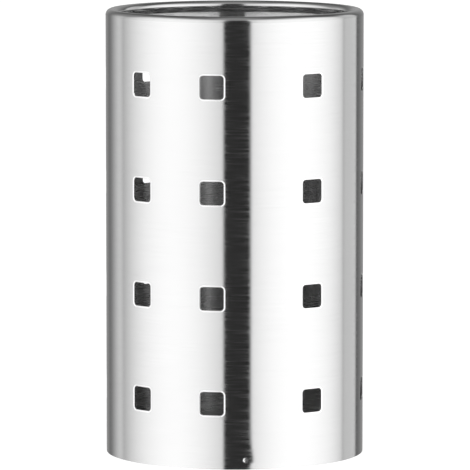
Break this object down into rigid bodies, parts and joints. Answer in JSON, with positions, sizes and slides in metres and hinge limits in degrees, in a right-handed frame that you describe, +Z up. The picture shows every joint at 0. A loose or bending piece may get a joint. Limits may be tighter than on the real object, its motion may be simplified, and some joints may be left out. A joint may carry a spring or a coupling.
{
  "type": "cutlery holder",
  "caption": "Open-topped steel cylinder that stands upright and holds cutlery, with rounded-square perforations, an inward-curled rim and a pressed base held by dimples.",
  "frame": {"origin": "centre of the bottom edge, on the surface that the holder stands on", "axes": "+Z up along the tube's axis; -Y is the front, between the column of holes at 10 degrees to the left and the one at 36 degrees to the right; +X is to the right seen from the front"},
  "size_m": [0.1046, 0.1046, 0.1805],
  "materials": {
    "brushed_wall_steel": "fine brushing that runs round the tube, with a polished rim",
    "satin_base_steel": "satin pressed sheet"
  },
  "bodies": {
    "root": {"perforated_wall": "brushed_wall_steel", "pressed_base": "satin_base_steel"}
  },
  "joints": []
}
